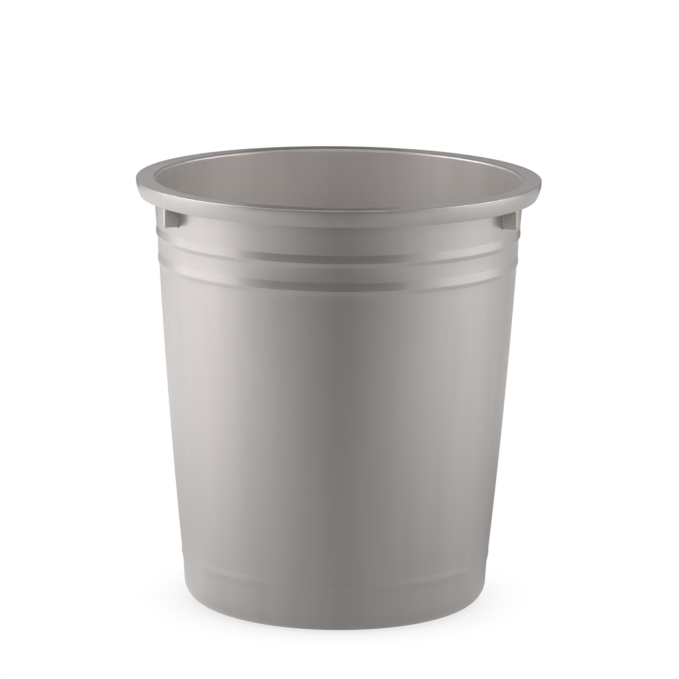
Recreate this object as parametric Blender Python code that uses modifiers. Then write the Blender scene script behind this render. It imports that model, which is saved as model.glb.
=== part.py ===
"""Round office wastebasket, 315 mm across the rim and 335.5 mm tall.

The real object is one thin-walled plastic moulding, so the model is one solid in one
object: a tapered tub with a flat rim flange, a hanging skirt around the flange, two
decorative rings below the rim, a bead above the base, a recessed underside, and four
gussets that tie the skirt to the wall beside the two grip zones.

Metres, +Z up. The origin is the centre of the base on the floor. +X and -X point
through the two grip zones, each of which lies between a pair of gussets.
"""

import math

import bmesh
import bpy
from mathutils import Matrix

MM = 0.001

# Driving dimensions of the whole tub
HEIGHT = 335.5 * MM
RIM_RADIUS = 157.5 * MM
WALL = 2.0 * MM

# Rim: flat flange, and the skirt that hangs from its outer edge
FLANGE_THICKNESS = 2.2 * MM
RIM_CORNER = 1.5 * MM
LIP_FILLET = 2.5 * MM
SKIRT_DROP = 13.4 * MM
SKIRT_TAPER = 3.3 * MM
SKIRT_BULGE = 0.35 * MM
SKIRT_WALL = 2.0 * MM

# Outer wall, top to bottom
WALL_RADIUS_UNDER_RIM = 144.1 * MM
WALL_BOW = 1.1 * MM
BASE_CORNER_RADIUS = 117.9 * MM
BASE_CORNER = 16.0 * MM

# The underside stands on a narrow foot ring around a recessed panel
FOOT_RING_WIDTH = 7.0 * MM
PANEL_RECESS = 1.6 * MM
FLOOR = 2.2 * MM
INNER_CORNER = 14.0 * MM

# Gussets between wall and skirt, two beside each grip zone
GUSSET_ANGLE = math.radians(29.1)
GUSSET_THICKNESS = 4.0 * MM
GUSSET_DROP = 27.8 * MM
GUSSET_CORNER = 1.5 * MM
GUSSET_INSET = 0.15 * MM
GUSSET_ROOT = 0.6 * MM

# The lower edge of a band is eased by a small chamfer, as shares of its step
EASE_IN = 0.25
EASE_DOWN = 0.35

TURN_STEPS = 72
WALL_STEPS = 6
WELD_DISTANCE = 0.01 * MM
SHARP_ANGLE = math.radians(35)

PART_NAME = "bin_body"


def lerp(a, b, t):
    """The value a share t of the way from a to b."""
    return a + (b - a) * t


def arc(centre, radius, start_deg, end_deg, steps):
    """Points along an arc in the profile plane, both ends included."""
    points = []
    for i in range(steps + 1):
        angle = math.radians(lerp(start_deg, end_deg, i / steps))
        r = centre[0] + radius * math.cos(angle)
        z = centre[1] + radius * math.sin(angle)
        points.append((r, z))
    return points


class Band:
    """A raised band on the outer wall: it swells gently downwards, then steps in."""

    def __init__(self, depth, radius, swell, swell_height, step, step_height):
        self.top = (radius, HEIGHT - depth)
        self.crest = (radius + swell, HEIGHT - depth - swell_height)
        foot_z = HEIGHT - depth - swell_height - step_height
        self.foot = (radius + swell - step, foot_z)

    def profile(self):
        """Four points down the band, with its lower edge eased by a small chamfer."""
        (crest_r, crest_z), (foot_r, foot_z) = self.crest, self.foot
        eased_r = lerp(crest_r, foot_r, EASE_IN)
        eased_z = lerp(crest_z, foot_z, EASE_DOWN)
        return [self.top, self.crest, (eased_r, eased_z), self.foot]


UPPER_RING = Band(
    depth=36.9 * MM,
    radius=141.5 * MM,
    swell=0.35 * MM,
    swell_height=6.3 * MM,
    step=1.4 * MM,
    step_height=3.3 * MM,
)
LOWER_RING = Band(
    depth=58.0 * MM,
    radius=140.05 * MM,
    swell=0.35 * MM,
    swell_height=6.5 * MM,
    step=1.2 * MM,
    step_height=3.5 * MM,
)
BASE_BEAD = Band(
    depth=293.2 * MM,
    radius=121.1 * MM,
    swell=0.0 * MM,
    swell_height=4.6 * MM,
    step=1.35 * MM,
    step_height=6.4 * MM,
)


def bowed_wall(low, top):
    """Points between two ends of the main wall, low to top, on a shallow parabola.

    The ends themselves are left out, and the bow is greatest halfway up.
    """
    points = []
    for i in range(1, WALL_STEPS):
        t = i / WALL_STEPS
        bow = WALL_BOW * 4 * t * (1 - t)
        points.append((lerp(low[0], top[0], t) + bow, lerp(low[1], top[1], t)))
    return points


def inner_wall():
    """The smooth inner wall from behind the base bead up to the fillet at the mouth."""
    bead = (BASE_BEAD.top[0] - WALL, BASE_BEAD.top[1])
    ring = (LOWER_RING.foot[0] - WALL, LOWER_RING.foot[1])
    mouth = (WALL_RADIUS_UNDER_RIM - WALL, HEIGHT - LIP_FILLET)
    return [bead] + bowed_wall(bead, ring) + [ring, mouth]


def inside_profile():
    """From the axis along the inner floor and up the inner wall."""
    floor_z = PANEL_RECESS + FLOOR
    corner_r = BASE_CORNER_RADIUS - WALL - INNER_CORNER
    corner = arc((corner_r, floor_z + INNER_CORNER), INNER_CORNER, -90, 0, 4)
    return [(0, floor_z)] + corner + inner_wall()


def rim_profile():
    """Over the mouth's fillet, the flange and its corner, and around the skirt."""
    mouth_r = WALL_RADIUS_UNDER_RIM - WALL
    lip = arc((mouth_r + LIP_FILLET, HEIGHT - LIP_FILLET), LIP_FILLET, 180, 90, 4)
    corner_centre = (RIM_RADIUS - RIM_CORNER, HEIGHT - RIM_CORNER)
    corner = arc(corner_centre, RIM_CORNER, 90, 0, 3)
    low_z = HEIGHT - SKIRT_DROP
    low_r = RIM_RADIUS - SKIRT_TAPER
    middle_r = lerp(RIM_RADIUS, low_r, 0.5) + SKIRT_BULGE
    middle_z = lerp(HEIGHT - RIM_CORNER, low_z, 0.5)
    skirt = [(middle_r, middle_z), (low_r, low_z), (low_r - SKIRT_WALL, low_z)]
    underside_z = HEIGHT - FLANGE_THICKNESS
    channel = [(RIM_RADIUS - SKIRT_WALL, underside_z), (WALL_RADIUS_UNDER_RIM, underside_z)]
    return lip[1:] + corner + skirt + channel


def outside_profile():
    """Down the outer wall over its bands, round the base corner and under the base."""
    bands = UPPER_RING.profile() + LOWER_RING.profile()
    bead = BASE_BEAD.profile()
    corner_r = BASE_CORNER_RADIUS - BASE_CORNER
    corner = arc((corner_r, BASE_CORNER), BASE_CORNER, 0, -90, 6)
    ring_r = corner_r - FOOT_RING_WIDTH
    under = [(ring_r, 0), (ring_r - PANEL_RECESS, PANEL_RECESS), (0, PANEL_RECESS)]
    wall = bowed_wall(BASE_BEAD.top, LOWER_RING.foot)[::-1]
    return bands + wall + bead + corner + under


def silver_plastic():
    """Satin silver-grey plastic with a faint pearl."""
    material = bpy.data.materials.new("silver_plastic")
    material.use_nodes = True
    shader = material.node_tree.nodes["Principled BSDF"]
    shader.inputs["Base Color"].default_value = (0.47, 0.45, 0.43, 1.0)
    shader.inputs["Metallic"].default_value = 0.35
    shader.inputs["Roughness"].default_value = 0.32
    return material


def turned_tub(collection):
    """The tub as a profile turned about the vertical axis."""
    points = inside_profile() + rim_profile() + outside_profile()
    mesh = bpy.data.meshes.new("tub_profile")
    edges = [(i, i + 1) for i in range(len(points) - 1)]
    mesh.from_pydata([(r, 0.0, z) for r, z in points], edges, [])
    tub = bpy.data.objects.new("tub_profile", mesh)
    collection.objects.link(tub)
    turn = tub.modifiers.new("turn", "SCREW")
    turn.axis = "Z"
    turn.angle = math.tau
    turn.steps = TURN_STEPS
    turn.render_steps = TURN_STEPS
    turn.use_merge_vertices = True
    turn.merge_threshold = WELD_DISTANCE
    return tub


def gusset_outline():
    """A gusset in its own radial plane: radius along X, height along Y.

    Its root lies inside the wall, its outer edge lies inside the skirt, and below the
    skirt it stands almost flush with the skirt's lower edge.
    """
    top_z = HEIGHT - 0.5 * FLANGE_THICKNESS
    low_z = HEIGHT - GUSSET_DROP
    edge_r = RIM_RADIUS - SKIRT_TAPER - GUSSET_INSET
    root = [
        (WALL_RADIUS_UNDER_RIM - 0.5 * WALL, top_z),
        (UPPER_RING.top[0] - GUSSET_ROOT, low_z),
    ]
    corner_centre = (edge_r - GUSSET_CORNER, low_z + GUSSET_CORNER)
    corner = arc(corner_centre, GUSSET_CORNER, -90, 0, 3)
    skirt = [
        (edge_r, HEIGHT - SKIRT_DROP),
        (RIM_RADIUS - 0.5 * SKIRT_WALL, top_z),
    ]
    return root + corner + skirt


def weld(mesh):
    """Joins the loose caps of a converted curve to its sides."""
    work = bmesh.new()
    work.from_mesh(mesh)
    bmesh.ops.remove_doubles(work, verts=work.verts, dist=WELD_DISTANCE)
    bmesh.ops.recalc_face_normals(work, faces=work.faces)
    work.to_mesh(mesh)
    work.free()


def gusset_solid(angle, name, collection):
    """One gusset as a closed mesh, standing at an angle about the tub's axis."""
    curve = bpy.data.curves.new(name + "_outline", "CURVE")
    curve.dimensions = "2D"
    curve.fill_mode = "BOTH"
    curve.extrude = 0.5 * GUSSET_THICKNESS
    outline = gusset_outline()
    spline = curve.splines.new("POLY")
    spline.points.add(len(outline) - 1)
    for point, (r, z) in zip(spline.points, outline):
        point.co = (r, z, 0.0, 1.0)
    spline.use_cyclic_u = True
    guide = bpy.data.objects.new(name + "_outline", curve)
    collection.objects.link(guide)
    guide.matrix_world = Matrix.Rotation(angle, 4, "Z") @ Matrix.Rotation(math.pi / 2, 4, "X")
    bpy.context.view_layer.update()
    evaluated = guide.evaluated_get(bpy.context.evaluated_depsgraph_get())
    mesh = bpy.data.meshes.new_from_object(evaluated)
    weld(mesh)
    solid = bpy.data.objects.new(name, mesh)
    solid.matrix_world = guide.matrix_world
    solid.display_type = "WIRE"
    solid.hide_render = True
    collection.objects.link(solid)
    bpy.data.objects.remove(guide)
    return solid


def bin_body(parts, cutters):
    """The finished moulding: the turned tub with its four gussets joined on."""
    tub = turned_tub(parts)
    for side in (0.0, math.pi):
        for turn in (-GUSSET_ANGLE, GUSSET_ANGLE):
            name = f"gusset_{round(math.degrees(side + turn))}"
            union = tub.modifiers.new(name, "BOOLEAN")
            union.operation = "UNION"
            union.solver = "EXACT"
            union.object = gusset_solid(side + turn, name, cutters)
    bpy.context.view_layer.update()
    evaluated = tub.evaluated_get(bpy.context.evaluated_depsgraph_get())
    mesh = bpy.data.meshes.new_from_object(evaluated)
    mesh.name = PART_NAME
    bpy.data.objects.remove(tub)
    body = bpy.data.objects.new(PART_NAME, mesh)
    parts.objects.link(body)
    mesh.shade_smooth()
    mesh.set_sharp_from_angle(angle=SHARP_ANGLE)
    mesh.materials.clear()
    mesh.materials.append(silver_plastic())
    return body


def new_collection(name):
    """A collection linked to the scene."""
    collection = bpy.data.collections.new(name)
    bpy.context.scene.collection.children.link(collection)
    return collection


def main():
    for old in list(bpy.data.objects):
        bpy.data.objects.remove(old)
    parts = new_collection("wastebasket")
    cutters = new_collection("cutters")
    bin_body(parts, cutters)


main()
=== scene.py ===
"""Looks of the round office wastebasket: one thin-walled moulding in satin silver plastic.

The fine shell is a turned profile with true fillets. Four gussets, each with its own
root fillets, are joined onto it, and the shell carries the shallow sink marks that such
gussets leave on the far side of a wall. Metres, +Z up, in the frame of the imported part.
"""

import math
from collections import namedtuple

import bmesh
import bpy
from mathutils import Matrix, Vector


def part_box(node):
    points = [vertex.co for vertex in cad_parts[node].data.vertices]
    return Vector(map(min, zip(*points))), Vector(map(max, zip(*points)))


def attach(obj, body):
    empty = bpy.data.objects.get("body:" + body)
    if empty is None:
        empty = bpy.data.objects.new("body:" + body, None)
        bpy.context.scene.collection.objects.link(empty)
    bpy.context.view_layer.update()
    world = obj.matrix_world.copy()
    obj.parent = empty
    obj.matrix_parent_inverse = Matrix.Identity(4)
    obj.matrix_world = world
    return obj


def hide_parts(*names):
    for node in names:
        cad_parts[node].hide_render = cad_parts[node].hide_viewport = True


MM = 0.001
NODE = "bin_body"

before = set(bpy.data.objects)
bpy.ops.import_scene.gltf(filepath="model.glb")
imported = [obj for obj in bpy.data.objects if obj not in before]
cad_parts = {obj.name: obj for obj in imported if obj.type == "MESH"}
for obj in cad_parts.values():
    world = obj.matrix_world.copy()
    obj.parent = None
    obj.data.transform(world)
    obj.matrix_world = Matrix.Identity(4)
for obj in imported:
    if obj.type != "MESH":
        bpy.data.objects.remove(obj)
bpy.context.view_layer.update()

# The whole part's height and rim come from the frame. Depths are measured down from the rim.
NODE_LOW, NODE_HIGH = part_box(NODE)
TOP = NODE_HIGH.z
RIM_RADIUS = 0.5 * (NODE_HIGH.x - NODE_LOW.x)

# Rim
FLANGE = 2.2 * MM
RIM_CORNER = 0.9 * MM
LIP_FILLET = 2.5 * MM
SKIRT_DROP = 13.4 * MM
SKIRT_TAPER = 3.3 * MM
SKIRT_BULGE = 0.80 * MM
SKIRT_WALL = 2.0 * MM
SKIRT_EDGE = 0.6 * MM
CHANNEL_FILLET = 1.2 * MM
CHANNEL_ROOT = 0.8 * MM

# Wall
WALL = 2.0 * MM
WALL_BOW = 1.1 * MM
WALL_TOP_RADIUS = RIM_RADIUS - 13.4 * MM

# Base
BASE_CORNER_RADIUS = RIM_RADIUS - 39.6 * MM
BASE_CORNER = 16.0 * MM
INNER_CORNER = 14.0 * MM
FLOOR = 2.2 * MM
PANEL_RECESS = 1.6 * MM
FOOT_RING_WIDTH = 7.0 * MM
FOOT_EDGE = 0.8 * MM
GATE_DIMPLE_RADIUS = 7.0 * MM
GATE_DIMPLE_DEPTH = 0.5 * MM
GATE_STUB_RADIUS = 1.6 * MM
GATE_STUB_HEIGHT = 0.4 * MM
GATE_FILLET = 0.3 * MM

# Raised bands: how far down the band starts and the radius there, how much it swells on
# its way down to the crest, and how much it steps in below. Lengths in metres.
Band = namedtuple("Band", "depth radius swell swell_height step step_height")
UPPER_RING = Band(36.9 * MM, RIM_RADIUS - 16.0 * MM, 0.35 * MM, 6.3 * MM, 1.4 * MM, 3.3 * MM)
LOWER_RING = Band(58.0 * MM, RIM_RADIUS - 17.45 * MM, 0.35 * MM, 6.5 * MM, 1.2 * MM, 3.5 * MM)
BASE_BEAD = Band(293.2 * MM, RIM_RADIUS - 36.4 * MM, 0.0 * MM, 4.6 * MM, 1.35 * MM, 6.4 * MM)
BAND_TOP_FILLET = 2.1 * MM
BAND_CREST_FILLET = 1.68 * MM
BAND_FOOT_FILLET = 2.8 * MM

# Gussets
GUSSET_ANGLE = math.radians(29.1)
GUSSET_THICKNESS = 4.0 * MM
GUSSET_DROP = 27.8 * MM
GUSSET_CORNER = 1.5 * MM
GUSSET_INSET = 0.15 * MM
GUSSET_ROOT = 0.6 * MM
GUSSET_FLARE = 0.7 * MM
GUSSET_FOOT_FLARE = 2.0 * MM
GUSSET_EASE = 0.4 * MM
GUSSET_GRID = 26
SINK_DEPTH = 0.28 * MM
SINK_HALF_WIDTH = 2.4 * MM

# Near the gussets, a point closer to the axis than this is on the inner wall
INNER_FACE_RADIUS = WALL_TOP_RADIUS - 1.2 * MM

# Mesh resolution
TURN_STEPS = 288
SINK_STEPS = 12
SINK_CLEARANCE = 1.2  # times a mark's half width: even steps closer than this are left out
ARC_STEP = math.radians(9)
WALL_STEPS = 40
SKIRT_STEPS = 6
SHARP_ANGLE = math.radians(40)


def lerp(a, b, t):
    """The value a share t of the way from a to b."""
    return a + (b - a) * t


# ---------------------------------------------------------------- turned profile


def tangent_arc(before, corner, after, radius):
    """Points along the arc of a radius that is tangent to both legs of a corner."""
    to_before = (before - corner).normalized()
    to_after = (after - corner).normalized()
    half = 0.5 * to_before.angle(to_after)
    start = corner + to_before * radius / math.tan(half)
    centre = corner + (to_before + to_after).normalized() * radius / math.sin(half)
    sweep = math.pi - 2 * half
    if to_before.cross(to_after) > 0:
        sweep = -sweep
    steps = max(2, math.ceil(abs(sweep) / ARC_STEP))
    points = []
    for i in range(steps + 1):
        turned = (start - centre).copy()
        turned.rotate(Matrix.Rotation(sweep * i / steps, 2))
        points.append(centre + turned)
    return points


def rounded(corners):
    """A path through corners (radius, height, fillet), with a tangent arc at each fillet."""
    places = [Vector(corner[:2]) for corner in corners]
    path = []
    for i, (_, _, fillet) in enumerate(corners):
        if fillet:
            path += tangent_arc(places[i - 1], places[i], places[i + 1], fillet)
        else:
            path.append(places[i])
    return path


def band_corners(band):
    """The corners of a raised band: it swells gently downwards, then steps in."""
    top = TOP - band.depth
    crest = top - band.swell_height
    foot = crest - band.step_height
    crest_radius = band.radius + band.swell
    return [
        (band.radius, top, BAND_TOP_FILLET),
        (crest_radius, crest, BAND_CREST_FILLET),
        (crest_radius - band.step, foot, BAND_FOOT_FILLET),
    ]


def bowed_wall(start, end):
    """Points between two ends of the wall on a shallow parabola, ends left out."""
    points = []
    for i in range(1, WALL_STEPS):
        t = i / WALL_STEPS
        bow = WALL_BOW * 4 * t * (1 - t)
        points.append((lerp(start[0], end[0], t) + bow, lerp(start[1], end[1], t), 0))
    return points


def inside_corners():
    """From the axis along the inner floor and up the inner wall."""
    floor = PANEL_RECESS + FLOOR
    bead = band_corners(BASE_BEAD)[0]
    ring = band_corners(LOWER_RING)[2]
    low = (bead[0] - WALL, bead[1], 0)
    high = (ring[0] - WALL, ring[1], 0)
    corner = (BASE_CORNER_RADIUS - WALL, floor, INNER_CORNER)
    return [(0, floor, 0), corner, low] + bowed_wall(low, high) + [high]


def rim_corner_radius():
    """Where the flange's plane meets the skirt's line, so that their arc reaches the rim."""
    lean = math.atan((SKIRT_TAPER - 4 * SKIRT_BULGE) / (SKIRT_DROP - RIM_CORNER))
    overshoot = math.cos(lean) - 1 + (1 + math.sin(lean)) * math.tan(lean)
    return RIM_RADIUS + RIM_CORNER * overshoot


def rim_corners():
    """Over the mouth's fillet and the flange, and around the skirt to the outer wall."""
    low = TOP - SKIRT_DROP
    low_r = RIM_RADIUS - SKIRT_TAPER
    corners = [
        (WALL_TOP_RADIUS - WALL, TOP, LIP_FILLET),
        (rim_corner_radius(), TOP, RIM_CORNER),
    ]
    for i in range(1, SKIRT_STEPS):
        t = i / SKIRT_STEPS
        bulge = SKIRT_BULGE * 4 * t * (1 - t)
        z = lerp(TOP - RIM_CORNER, low, t)
        corners.append((lerp(RIM_RADIUS, low_r, t) + bulge, z, 0))
    return corners + [
        (low_r, low, SKIRT_EDGE),
        (low_r - SKIRT_WALL, low, SKIRT_EDGE),
        (RIM_RADIUS - SKIRT_WALL, TOP - FLANGE, CHANNEL_FILLET),
        (WALL_TOP_RADIUS, TOP - FLANGE, CHANNEL_ROOT),
    ]


def outside_corners():
    """Down the outer wall over its bands, round the base and under it to the axis."""
    bead = band_corners(BASE_BEAD)
    lower = band_corners(LOWER_RING)
    corner_r = BASE_CORNER_RADIUS - BASE_CORNER
    ring_r = corner_r - FOOT_RING_WIDTH
    dimple = PANEL_RECESS + GATE_DIMPLE_DEPTH
    under = [
        (BASE_CORNER_RADIUS, 0, BASE_CORNER),
        (ring_r, 0, FOOT_EDGE),
        (ring_r - PANEL_RECESS, PANEL_RECESS, FOOT_EDGE),
        (GATE_DIMPLE_RADIUS, PANEL_RECESS, GATE_FILLET),
        (GATE_DIMPLE_RADIUS - GATE_DIMPLE_DEPTH, dimple, GATE_FILLET),
        (GATE_STUB_RADIUS, dimple, 0),
        (GATE_STUB_RADIUS, dimple - GATE_STUB_HEIGHT, 0),
        (0, dimple - GATE_STUB_HEIGHT, 0),
    ]
    wall = bowed_wall(lower[2], bead[0])
    return band_corners(UPPER_RING) + lower + wall + bead + under


# ---------------------------------------------------------------- turned shell


def gusset_angles():
    """The four angles of the gussets about the bin's axis."""
    angles = []
    for side in (0.0, math.pi):
        angles += [side - GUSSET_ANGLE, side + GUSSET_ANGLE]
    return [angle % math.tau for angle in angles]


def turn_angles():
    """Even steps round the axis, with finer steps across each gusset's sink marks."""
    reach = SINK_HALF_WIDTH / WALL_TOP_RADIUS
    clear = reach * SINK_CLEARANCE
    angles = []
    for i in range(TURN_STEPS):
        angle = math.tau * i / TURN_STEPS
        if all(abs(angle - gusset) > clear for gusset in gusset_angles()):
            angles.append(angle)
    for gusset in gusset_angles():
        for i in range(SINK_STEPS + 1):
            angles.append(gusset + lerp(-reach, reach, i / SINK_STEPS))
    return sorted(angles)


def sink(radius, height, angle):
    """How far the surface moves outwards at a sink mark, which can be negative."""
    depth = TOP - height
    nearest = min(abs(angle - gusset) for gusset in gusset_angles())
    across = nearest * radius / SINK_HALF_WIDTH
    if across >= 1 or depth > GUSSET_DROP:
        return 0.0
    shape = 0.5 + 0.5 * math.cos(math.pi * across)
    if radius < INNER_FACE_RADIUS and depth > LIP_FILLET:
        fade = min(1.0, (GUSSET_DROP - depth) / GUSSET_FOOT_FLARE)
        return SINK_DEPTH * shape * fade
    if radius > RIM_RADIUS - SKIRT_TAPER and RIM_CORNER < depth < SKIRT_DROP - SKIRT_EDGE:
        return -SINK_DEPTH * shape
    return 0.0


def turned_shell():
    """The shell without its gussets: the profile turned about the axis."""
    path = rounded(inside_corners() + rim_corners() + outside_corners())
    angles = turn_angles()
    work = bmesh.new()
    rows = []
    for radius, height in path:
        if radius == 0:
            rows.append([work.verts.new((0, 0, height))] * len(angles))
            continue
        row = []
        for angle in angles:
            r = radius + sink(radius, height, angle)
            row.append(work.verts.new((r * math.cos(angle), r * math.sin(angle), height)))
        rows.append(row)
    for upper, lower in zip(rows, rows[1:]):
        for i in range(len(angles)):
            j = (i + 1) % len(angles)
            corners = [upper[i], upper[j], lower[j], lower[i]]
            work.faces.new(list(dict.fromkeys(corners)))
    bmesh.ops.recalc_face_normals(work, faces=work.faces)
    return finished_object(work, "bin_shell")


def finished_object(work, name):
    """A linked object from a bmesh, which is freed."""
    mesh = bpy.data.meshes.new(name)
    work.to_mesh(mesh)
    work.free()
    made = bpy.data.objects.new(name, mesh)
    bpy.context.scene.collection.objects.link(made)
    return made


# ---------------------------------------------------------------- gussets


def fillet_rise(distance, radius):
    """How far a fillet of a radius stands off one leg at a distance from the other leg."""
    if distance >= radius:
        return 0.0
    if distance <= 0:
        return radius
    return radius - math.sqrt(radius**2 - (radius - distance) ** 2)


def wall_radius(height):
    """The outer wall's radius at a height between the flange and the upper ring."""
    share = (TOP - height) / UPPER_RING.depth
    return lerp(WALL_TOP_RADIUS, UPPER_RING.radius, share)


def skirt_radius(height):
    """The radius of the skirt's inner face at a height."""
    share = (TOP - FLANGE - height) / (SKIRT_DROP - FLANGE)
    return lerp(RIM_RADIUS, RIM_RADIUS - SKIRT_TAPER, share) - SKIRT_WALL


def gusset_half_thickness(radius, height, foot):
    """Half the gusset's thickness, wider at its roots and eased along its free edges."""
    edge = RIM_RADIUS - SKIRT_TAPER - GUSSET_INSET
    skirt_low = TOP - SKIRT_DROP
    half = 0.5 * GUSSET_THICKNESS
    half += fillet_rise(radius - wall_radius(height), GUSSET_FLARE)
    half += fillet_rise(TOP - FLANGE - height, GUSSET_FLARE)
    if height > skirt_low:
        half += fillet_rise(skirt_radius(height) - radius, GUSSET_FLARE)
    else:
        half -= fillet_rise(edge - radius, GUSSET_EASE)
    return half - fillet_rise(height - foot, GUSSET_EASE)


def gusset_foot(radius):
    """The height of the gusset's lower edge at a radius, rounded at both its ends."""
    low = TOP - GUSSET_DROP
    edge = RIM_RADIUS - SKIRT_TAPER - GUSSET_INSET
    rise = fillet_rise(edge - radius, GUSSET_CORNER)
    drop = fillet_rise(radius - wall_radius(low), GUSSET_FOOT_FLARE)
    return low + rise - drop


def eased(t):
    """A share from 0 to 1, with small steps near both ends."""
    return 0.5 - 0.5 * math.cos(math.pi * t)


def gusset_sides(work):
    """Both broad faces of a gusset as grids of corners, from its root and foot upwards.

    The root ends inside the wall and the top inside the flange, so the union is clean.
    """
    top = TOP - 0.5 * FLANGE
    root = WALL_TOP_RADIUS - 0.5 * WALL - GUSSET_ROOT
    edge = RIM_RADIUS - SKIRT_TAPER - GUSSET_INSET
    sides = {-1: [], 1: []}
    for i in range(GUSSET_GRID + 1):
        radius = lerp(root, edge, eased(i / GUSSET_GRID))
        foot = gusset_foot(radius)
        column = {-1: [], 1: []}
        for j in range(GUSSET_GRID + 1):
            height = lerp(foot, top, eased(j / GUSSET_GRID))
            half = gusset_half_thickness(radius, height, foot)
            for side in column:
                column[side].append(work.verts.new((radius, side * half, height)))
        for side in sides:
            sides[side].append(column[side])
    return sides


def gusset_solid(angle, name):
    """One gusset as a closed solid, standing at an angle about the axis."""
    work = bmesh.new()
    sides = gusset_sides(work)
    n = GUSSET_GRID
    for grid in sides.values():
        for i in range(n):
            for j in range(n):
                work.faces.new([grid[i][j], grid[i + 1][j], grid[i + 1][j + 1], grid[i][j + 1]])
    border = [(i, 0) for i in range(n)] + [(n, j) for j in range(n)]
    border += [(i, n) for i in range(n, 0, -1)] + [(0, j) for j in range(n, 0, -1)]
    for (i, j), (k, m) in zip(border, border[1:] + border[:1]):
        work.faces.new([sides[-1][i][j], sides[-1][k][m], sides[1][k][m], sides[1][i][j]])
    bmesh.ops.recalc_face_normals(work, faces=work.faces)
    bmesh.ops.rotate(work, verts=work.verts, matrix=Matrix.Rotation(angle, 3, "Z"))
    return finished_object(work, name)


def bin_shell():
    """The finished shell: the turned body with its four gussets joined on."""
    shell = turned_shell()
    gussets = []
    for i, angle in enumerate(gusset_angles()):
        gusset = gusset_solid(angle, f"gusset_{i}")
        union = shell.modifiers.new(gusset.name, "BOOLEAN")
        union.operation = "UNION"
        union.solver = "EXACT"
        union.object = gusset
        gussets.append(gusset)
    bpy.context.view_layer.update()
    evaluated = shell.evaluated_get(bpy.context.evaluated_depsgraph_get())
    mesh = bpy.data.meshes.new_from_object(evaluated)
    shell.modifiers.clear()
    shell.data = mesh
    for gusset in gussets:
        bpy.data.objects.remove(gusset)
    mesh.shade_smooth()
    mesh.set_sharp_from_angle(angle=SHARP_ANGLE)
    return shell


# ---------------------------------------------------------------- material

PEARL_GREY = (0.630, 0.590, 0.570, 1.0)
PEARL_BRIGHT = (0.654, 0.615, 0.596, 1.0)
FLAKE_BRIGHT = (0.735, 0.698, 0.678, 1.0)
SCUFF_GREY = (0.520, 0.500, 0.482, 1.0)
# Painted light: the gussets' sides take this paler colour to stand in for the light they catch.
PAINTED_GUSSET_LIGHT = (0.860, 0.820, 0.770, 1.0)
METALLIC = 0.86
ROUGHNESS = 0.33
ROUGHNESS_RANGE = (0.22, 0.60)
COAT = 0.3
COAT_ROUGHNESS = 0.10

# Sizes of the surface's details, in millimetres, and how far some are stretched upwards
FLOW_WIDTH = 14.0
FLOW_STRETCH = 0.07
FLAKE_SIZE = 0.45
SKIN_WAVE = 3.4
SKIN_GRAIN = 0.35
TURNING_PITCH = 0.6
SMUDGE_SIZE = 42.0
HAIRLINE_WIDTH = 0.9
HAIRLINE_STRETCH = 0.03
SCUFF_SIZE = 2.2

# Where the rubbed places are: heights on the foot ring, and the rim's outer edge
FOOT_SCUFF = (0.2 * MM, 2.5 * MM)
EDGE_SCUFF_WIDTH = 1.6 * MM
EDGE_SCUFF_DEPTHS = (2.0 * MM, 0.4 * MM)
EDGE_SCUFF_SHARE = 0.35

# Ranges over which a pattern starts to show, or a face starts to count as a gusset's side
# or as the inner wall
FLOW_CONTRAST = (0.3, 0.7)
FLAKE_GLINT = (0.55, 1.0)
SCUFF_BREAKS = (0.40, 0.66)
HAIRLINE_THINNESS = 0.012
HAIRLINE_PATCHES = (0.52, 0.68)
ROUND_HAIRLINE_SHARE = 0.5
FACING_ROUND = (0.4, 0.9)
FACING_INWARD = (-0.1, -0.6)

# How strongly each detail shows
FLOW_ROUGHNESS = 0.018
SMUDGE_ROUGHNESS = 0.030
TURNING_ROUGHNESS = 0.020
HAIRLINE_ROUGHNESS = 0.10
SCUFF_ROUGHNESS = 0.16
MATTE_METALLIC = 0.0
MATTE_ROUGHNESS = 0.22
INSIDE_MATTE = 0.32
FLAKE_SHARE = 0.16
WAVE_RELIEF = 0.55
GRAIN_RELIEF = 0.10
TURNING_RELIEF = 0.12
HAIRLINE_RELIEF = -0.25
BUMP_DISTANCE = 0.012 * MM
COAT_BUMP_DISTANCE = 0.006 * MM

# Socket numbers of a Mix node of colours: its inputs A and B, and its result
MIX_A = 6
MIX_B = 7
MIX_RESULT = 2


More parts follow.
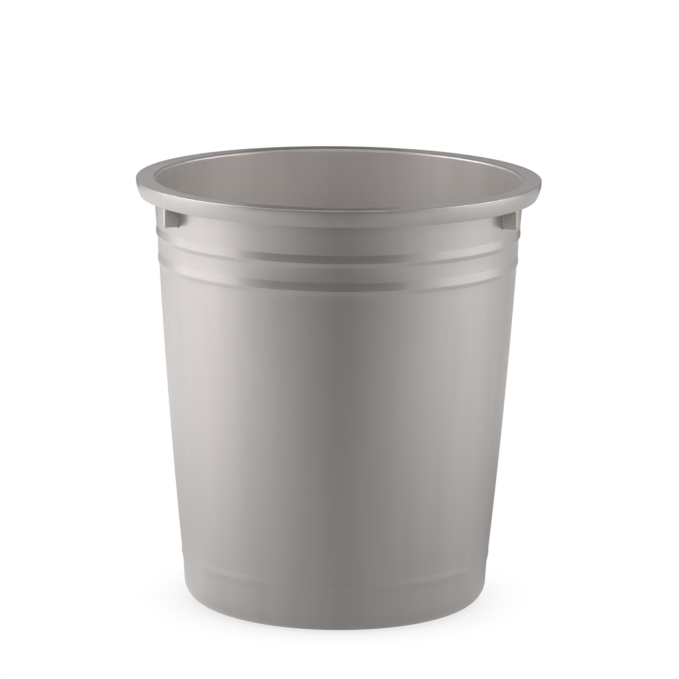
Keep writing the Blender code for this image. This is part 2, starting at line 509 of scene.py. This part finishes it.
class Graph:
    """Short calls that build a material's node tree."""

    def __init__(self, name):
        self.material = bpy.data.materials.new(name)
        self.material.use_nodes = True
        self.tree = self.material.node_tree
        self.shader = self.tree.nodes["Principled BSDF"]
        self.output = self.tree.nodes["Material Output"]

    def feed(self, socket, value):
        """Links a socket from another node's output, or sets its value."""
        if isinstance(value, bpy.types.NodeSocket):
            self.tree.links.new(value, socket)
        else:
            socket.default_value = value

    def node(self, kind, inputs, **settings):
        """A new node with its settings, and its inputs linked or given a value."""
        made = self.tree.nodes.new("ShaderNode" + kind)
        for name, value in settings.items():
            setattr(made, name, value)
        for name, value in inputs.items():
            self.feed(made.inputs[name], value)
        return made

    def math(self, operation, a, b=0.0):
        """One arithmetic step."""
        return self.node("Math", {0: a, 1: b}, operation=operation).outputs[0]

    def scaled(self, place, factors):
        """A place stretched along each axis."""
        made = self.node("VectorMath", {0: place, 1: factors}, operation="MULTIPLY")
        return made.outputs["Vector"]

    def noise(self, place, size, detail=2.0):
        """Noise from 0 to 1 whose features are about a size across, in millimetres."""
        inputs = {"Vector": place, "Scale": 1.0 / (size * MM), "Detail": detail}
        return self.node("TexNoise", inputs).outputs["Fac"]

    def ramp(self, value, low, high, to_low=0.0, to_high=1.0):
        """A value mapped smoothly from one range onto another."""
        inputs = {"Value": value, "From Min": low, "From Max": high}
        inputs.update({"To Min": to_low, "To Max": to_high})
        return self.node("MapRange", inputs, interpolation_type="SMOOTHSTEP").outputs["Result"]

    def swing(self, value, reach):
        """A 0 to 1 value turned into one from minus reach to plus reach."""
        return self.math("MULTIPLY", self.math("SUBTRACT", value, 0.5), 2.0 * reach)

    def total(self, values):
        """The sum of several values."""
        result = values[0]
        for value in values[1:]:
            result = self.math("ADD", result, value)
        return result

    def mix(self, share, a, b):
        """A colour a share of the way from a to b."""
        inputs = {0: share, MIX_A: a, MIX_B: b}
        return self.node("Mix", inputs, data_type="RGBA").outputs[MIX_RESULT]

    def bump(self, height, distance):
        """A normal tilted by a height field whose full range is a distance."""
        inputs = {"Height": height, "Distance": distance, "Strength": 1.0}
        return self.node("Bump", inputs).outputs["Normal"]


def section_place(graph, place):
    """(radius, 0, height), so that a pattern runs in rings like a turned mould's."""
    flat = graph.scaled(place, (1.0, 1.0, 0.0))
    radius = graph.node("VectorMath", {0: flat}, operation="LENGTH").outputs["Value"]
    height = graph.node("SeparateXYZ", {0: place}).outputs["Z"]
    section = graph.node("CombineXYZ", {"X": radius, "Z": height}).outputs[0]
    return section, radius, height


def matte_share(graph, place):
    """Where the skin is duller: on the gussets and partly inside; and the gussets alone, which also
    get a paler colour as painted light.
    """
    normal = graph.node("TexCoord", {}).outputs["Normal"]
    flat = graph.scaled(place, (1.0, 1.0, 0.0))
    outward = graph.node("VectorMath", {0: flat}, operation="NORMALIZE").outputs["Vector"]
    dot = graph.node("VectorMath", {0: normal, 1: outward}, operation="DOT_PRODUCT")
    facing = dot.outputs["Value"]
    upward = graph.node("SeparateXYZ", {0: normal}).outputs["Z"]
    along = graph.math("MULTIPLY", facing, facing)
    up = graph.math("MULTIPLY", upward, upward)
    across = graph.math("SUBTRACT", 1.0, graph.math("ADD", along, up))
    # The gussets' sides: duller in roughness, and painted paler as painted light.
    gusset_matte_and_painted_light = graph.ramp(across, *FACING_ROUND)
    inside = graph.ramp(facing, *FACING_INWARD, 0.0, INSIDE_MATTE)
    return graph.math("MAXIMUM", gusset_matte_and_painted_light, inside), gusset_matte_and_painted_light


def hairlines(graph, place, stretch):
    """Sparse fine scratches: thin contour lines of stretched noise, in faint patches."""
    lines = graph.noise(graph.scaled(place, stretch), HAIRLINE_WIDTH, detail=0.0)
    thin = graph.math("ABSOLUTE", graph.math("SUBTRACT", lines, 0.5))
    line = graph.ramp(thin, 0.0, HAIRLINE_THINNESS, 1.0, 0.0)
    patch = graph.ramp(graph.noise(place, SMUDGE_SIZE), *HAIRLINE_PATCHES)
    return graph.math("MULTIPLY", line, patch)


def scuffs(graph, place, radius, height):
    """Where the bin is rubbed: the foot ring below, and faintly the rim's outer edge."""
    foot = graph.ramp(height, *FOOT_SCUFF, 1.0, 0.0)
    low, high = [TOP - depth for depth in EDGE_SCUFF_DEPTHS]
    edge_r = graph.ramp(radius, RIM_RADIUS - EDGE_SCUFF_WIDTH, RIM_RADIUS)
    edge_z = graph.ramp(height, low, high)
    edge = graph.math("MULTIPLY", graph.math("MULTIPLY", edge_r, edge_z), EDGE_SCUFF_SHARE)
    rubbed = graph.math("MAXIMUM", foot, edge)
    broken = graph.ramp(graph.noise(place, SCUFF_SIZE, detail=4.0), *SCUFF_BREAKS)
    return graph.math("MULTIPLY", rubbed, broken)


def surface_details(graph):
    """Every pattern of the skin by name, each a share from 0 to 1."""
    place = graph.node("TexCoord", {}).outputs["Object"]
    section, radius, height = section_place(graph, place)
    streaks = graph.scaled(place, (1.0, 1.0, FLOW_STRETCH))
    flake_inputs = {"Vector": place, "Scale": 1.0 / (FLAKE_SIZE * MM)}
    flake_colour = graph.node("TexVoronoi", flake_inputs).outputs["Color"]
    round_lines = hairlines(graph, section, (1.0, 1.0, 1.0))
    down_lines = hairlines(graph, place, (1.0, 1.0, HAIRLINE_STRETCH))
    faint_round = graph.math("MULTIPLY", round_lines, ROUND_HAIRLINE_SHARE)
    matte, gusset_matte_and_painted_light = matte_share(graph, place)
    return {
        "flow": graph.noise(streaks, FLOW_WIDTH, detail=3.0),
        "flake": graph.node("SeparateColor", {0: flake_colour}).outputs["Red"],
        "wave": graph.noise(place, SKIN_WAVE, detail=1.0),
        "grain": graph.noise(place, SKIN_GRAIN, detail=1.0),
        "turning": graph.noise(section, TURNING_PITCH, detail=3.0),
        "smudge": graph.noise(place, SMUDGE_SIZE, detail=4.0),
        "lines": graph.math("MAXIMUM", faint_round, down_lines),
        "scuff": scuffs(graph, place, radius, height),
        "matte": matte,
        "gusset_matte_and_painted_light": gusset_matte_and_painted_light,
    }


def skin_colour(graph, details):
    """Pearl grey in faint flow streaks with fine flakes, grey where rubbed, and painted light that
    makes the gusset sides paler.
    """
    base = graph.mix(graph.ramp(details["flow"], *FLOW_CONTRAST), PEARL_GREY, PEARL_BRIGHT)
    sparkle = graph.ramp(details["flake"], *FLAKE_GLINT, 0.0, FLAKE_SHARE)
    pearl = graph.mix(sparkle, base, FLAKE_BRIGHT)
    # Painted light: the gusset sides are painted paler, standing in for the light they catch.
    skin = graph.mix(details["gusset_matte_and_painted_light"], pearl, PAINTED_GUSSET_LIGHT)
    return graph.mix(details["scuff"], skin, SCUFF_GREY)


def skin_roughness(graph, details):
    """A satin roughness that every pattern moves a little, held within its range."""
    rough = graph.total(
        [
            graph.swing(details["flow"], FLOW_ROUGHNESS),
            graph.swing(details["smudge"], SMUDGE_ROUGHNESS),
            graph.swing(details["turning"], TURNING_ROUGHNESS),
            graph.math("MULTIPLY", details["lines"], HAIRLINE_ROUGHNESS),
            graph.math("MULTIPLY", details["scuff"], SCUFF_ROUGHNESS),
            graph.math("MULTIPLY", details["matte"], MATTE_ROUGHNESS),
            ROUGHNESS,
        ]
    )
    low, high = ROUGHNESS_RANGE
    return graph.math("MINIMUM", graph.math("MAXIMUM", rough, low), high)


def skin_relief(graph, details):
    """The skin's height: slow waves, fine grain, turning marks and sunken hairlines."""
    heights = [
        graph.math("MULTIPLY", details["wave"], WAVE_RELIEF),
        graph.math("MULTIPLY", details["grain"], GRAIN_RELIEF),
        graph.math("MULTIPLY", details["turning"], TURNING_RELIEF),
        graph.math("MULTIPLY", details["lines"], HAIRLINE_RELIEF),
    ]
    return graph.total(heights)


def silver_plastic():
    """Satin silver plastic: fine pearl flakes in warm grey, under a smooth moulded skin."""
    graph = Graph("satin_silver_plastic")
    details = surface_details(graph)
    coat_rough = graph.math("ADD", graph.swing(details["smudge"], SMUDGE_ROUGHNESS), COAT_ROUGHNESS)
    relief = skin_relief(graph, details)
    inputs = {
        "Base Color": skin_colour(graph, details),
        "Metallic": graph.ramp(details["matte"], 0.0, 1.0, METALLIC, MATTE_METALLIC),
        "Roughness": skin_roughness(graph, details),
        "Normal": graph.bump(relief, BUMP_DISTANCE),
        "Coat Weight": COAT,
        "Coat Roughness": coat_rough,
        "Coat Normal": graph.bump(details["wave"], COAT_BUMP_DISTANCE),
    }
    for name, value in inputs.items():
        graph.feed(graph.shader.inputs[name], value)
    return graph.material


# ---------------------------------------------------------------- stage

# Camera: metres from the axis and above the rim, angles, and millimetres of lens
CAMERA_DISTANCE = 3.300
CAMERA_ABOVE_RIM = 0.5337
CAMERA_AZIMUTH = math.radians(-1.4)
CAMERA_PITCH = math.radians(11.352)
CAMERA_ROLL = math.radians(0.578)
CAMERA_LENS = 228.0
CAMERA_SHIFT = 0.00336
SENSOR_WIDTH = 36.0
VIEW_LIMIT = 50.0

# The floor, which lies a hair below the foot ring. Its glow changes from near to far
# between two distances from the axis, and fades out over FLOOR_EDGE.
FLOOR_SIZE = 12.0
FLOOR_GAP = 0.2 * MM
FLOOR_NEAR = 0.15
FLOOR_FAR = 0.80
FLOOR_EDGE = (1.6, 1.8)
GLOW_RANGE = 2.0

# How bright the floor looks to the bin in eight even directions: at FLOOR_NEAR, and at
# FLOOR_FAR. These levels and the soft boxes' radiances were first fitted to the photo's
# tones, and then rounded and adjusted. Directions are as the camera sees them.
FLOOR_GLOW = (
    ("back", 0.05, 0.60),
    ("back_left", 0.55, 0.95),
    ("left", 0.75, 1.10),
    ("front_left", 0.50, 0.65),
    ("front", 0.30, 0.20),
    ("front_right", 0.40, 0.60),
    ("right", 0.50, 0.80),
    ("back_right", 0.25, 0.55),
)
SHADOW_REACH = 0.05
SHADOW_DEEPEST = 0.80
SHADOW_SAMPLES = 16

# Upright soft boxes: azimuths in degrees (0 is the camera's side, + is to the right),
# lowest and highest edge in metres, and radiance
SOFT_BOX_DISTANCE = 1.8
SOFT_BOXES = (
    ("left_strip", -126, -64, 0.0, 0.3, 1.45),
    ("left_main", -126, -64, 0.7, 1.6, 3.30),
    ("left_back", -150, -126, 0.0, 0.7, 0.60),
    ("front_left", -50, 2, 0.7, 1.6, 0.90),
    ("front_right", 8, 32, 0.7, 1.6, 1.40),
    ("left_edge", -64, -50, 0.0, 0.7, 0.35),
    ("right_edge", 40, 61, 0.0, 0.7, 0.55),
    ("right_strip", 61, 116, 0.0, 0.3, 1.35),
    ("right_main", 61, 116, 0.7, 1.6, 2.70),
    ("right_back", 116, 150, 0.0, 0.7, 0.50),
    ("back", 165, 195, 0.0, 0.5, 0.45),
)

# Square soft boxes overhead, each facing the rim: centre, side length and radiance
OVERHEADS = (
    ("top_left", (-1.25, 0.0, 1.9), 1.1, 1.10),
    ("top_right", (1.25, 0.0, 1.9), 1.1, 0.60),
    ("top_middle", (0.0, 0.0, 2.2), 1.2, 0.90),
)
WORLD_GLOW = 0.07
WHITE = (1.0, 1.0, 1.0, 1.0)

# Two upright glowing cards close behind the bin, either side of a dark gap: x of the near
# and the far edge, and radiance. They show in the rim's flat top.
CARD_BACK = 0.60
CARD_LOW = 0.42
CARD_HIGH = 0.75
CARDS = (
    ("card_left", -0.07, -0.42, 0.45),
    ("card_right", 0.07, 0.42, 0.40),
)


def camera():
    """The camera: far off with a long lens, a little above the rim."""
    data = bpy.data.cameras.new("camera")
    data.lens = CAMERA_LENS
    data.sensor_width = SENSOR_WIDTH
    data.shift_x = CAMERA_SHIFT
    data.clip_end = VIEW_LIMIT
    made = bpy.data.objects.new("camera", data)
    bpy.context.scene.collection.objects.link(made)
    x = CAMERA_DISTANCE * math.sin(CAMERA_AZIMUTH)
    y = -CAMERA_DISTANCE * math.cos(CAMERA_AZIMUTH)
    turn = Matrix.Rotation(CAMERA_AZIMUTH, 4, "Z")
    tilt = Matrix.Rotation(math.pi / 2 - CAMERA_PITCH, 4, "X")
    roll = Matrix.Rotation(CAMERA_ROLL, 4, "Z")
    place = Matrix.Translation((x, y, TOP + CAMERA_ABOVE_RIM))
    made.matrix_world = place @ turn @ tilt @ roll
    bpy.context.scene.camera = made


def area_light(name, location, target, width, height, radiance):
    """A soft box at a place, facing a target."""
    data = bpy.data.lights.new(name, "AREA")
    data.shape = "RECTANGLE"
    data.size = width
    data.size_y = height
    data.energy = math.pi * width * height * radiance
    made = bpy.data.objects.new(name, data)
    bpy.context.scene.collection.objects.link(made)
    made.location = location
    made.rotation_mode = "QUATERNION"
    facing = Vector(target) - Vector(location)
    made.rotation_quaternion = facing.to_track_quat("-Z", "Y")
    made.visible_camera = False


def soft_box(name, start_deg, end_deg, low, high, radiance):
    """An upright soft box that spans azimuths about the axis; 0 is the camera's side."""
    half = math.radians(0.5 * (end_deg - start_deg))
    middle = math.radians(0.5 * (end_deg + start_deg))
    width = 2 * SOFT_BOX_DISTANCE * math.sin(half)
    away = SOFT_BOX_DISTANCE * math.cos(half)
    z = 0.5 * (low + high)
    location = (away * math.sin(middle), -away * math.cos(middle), z)
    area_light(name, location, (0, 0, z), width, high - low, radiance)


def card(name, near, far, radiance):
    """An upright card behind the bin that faces the camera's side."""
    middle = (0.5 * (near + far), CARD_BACK, 0.5 * (CARD_LOW + CARD_HIGH))
    target = (middle[0], 0.0, middle[2])
    area_light(name, middle, target, abs(far - near), CARD_HIGH - CARD_LOW, radiance)


def glow_round(graph, azimuth, levels):
    """The floor's brightness round the bin, in straight steps between even directions."""
    share = graph.node("MapRange", {"Value": azimuth, "From Min": -math.pi, "From Max": math.pi})
    band = graph.node("ValToRGB", {"Fac": share.outputs["Result"]})
    elements = band.color_ramp.elements
    for i in range(1, len(levels)):
        elements.new(i / len(levels))
    for element, level in zip(elements, levels + levels[:1]):
        grey = level / GLOW_RANGE
        element.color = (grey, grey, grey, 1.0)
    return graph.math("MULTIPLY", band.outputs["Color"], GLOW_RANGE)


def floor_glow(graph, place):
    """How bright the floor looks to the bin: most beside it, least in front and behind."""
    flat = graph.scaled(place, (1.0, 1.0, 0.0))
    away = graph.node("VectorMath", {0: flat}, operation="LENGTH").outputs["Value"]
    axes = graph.node("SeparateXYZ", {0: place}).outputs
    azimuth = graph.math("ARCTAN2", axes["X"], graph.math("MULTIPLY", axes["Y"], -1.0))
    near = glow_round(graph, azimuth, [near for _, near, _ in FLOOR_GLOW])
    far = glow_round(graph, azimuth, [far for _, _, far in FLOOR_GLOW])
    outward = graph.ramp(away, FLOOR_NEAR, FLOOR_FAR)
    change = graph.math("MULTIPLY", graph.math("SUBTRACT", far, near), outward)
    inside = graph.ramp(away, *FLOOR_EDGE, 1.0, 0.0)
    return graph.math("MULTIPLY", graph.math("ADD", near, change), inside)


def pale_floor():
    """Plain white to the camera, with a soft contact shadow, and a lit sweep to the bin."""
    graph = Graph("pale_floor")
    place = graph.node("TexCoord", {}).outputs["Object"]
    open_share = graph.node("AmbientOcclusion", {"Distance": SHADOW_REACH}, samples=SHADOW_SAMPLES)
    shade = graph.ramp(open_share.outputs["AO"], 0.0, 1.0, SHADOW_DEEPEST, 1.0)
    seen = graph.node("Emission", {"Strength": shade})
    lit = graph.node("Emission", {"Strength": floor_glow(graph, place)})
    by_camera = graph.node("LightPath", {}).outputs["Is Camera Ray"]
    inputs = {0: by_camera, 1: lit.outputs[0], 2: seen.outputs[0]}
    both = graph.node("MixShader", inputs)
    graph.feed(graph.output.inputs["Surface"], both.outputs[0])
    return graph.material


def floor():
    """A wide flat floor."""
    work = bmesh.new()
    below = Matrix.Translation((0, 0, -FLOOR_GAP))
    bmesh.ops.create_grid(work, x_segments=1, y_segments=1, size=0.5 * FLOOR_SIZE, matrix=below)
    made = finished_object(work, "floor")
    made.data.materials.append(pale_floor())


def studio():
    """Floor, lights and world."""
    floor()
    for name, start, end, low, high, radiance in SOFT_BOXES:
        soft_box(name, start, end, low, high, radiance)
    for name, near, far, radiance in CARDS:
        card(name, near, far, radiance)
    for name, location, size, radiance in OVERHEADS:
        area_light(name, location, (0, 0, TOP), size, size, radiance)
    world = bpy.data.worlds.new("studio")
    world.use_nodes = True
    background = world.node_tree.nodes["Background"]
    background.inputs["Color"].default_value = WHITE
    background.inputs["Strength"].default_value = WORLD_GLOW
    bpy.context.scene.world = world
    bpy.context.scene.view_settings.view_transform = "Standard"
    camera()


def main():
    """Builds the bin, rides it on its body, and sets up the studio."""
    shell = bin_shell()
    shell.data.materials.clear()
    shell.data.materials.append(silver_plastic())
    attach(shell, "root")
    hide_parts(NODE)
    studio()


main()
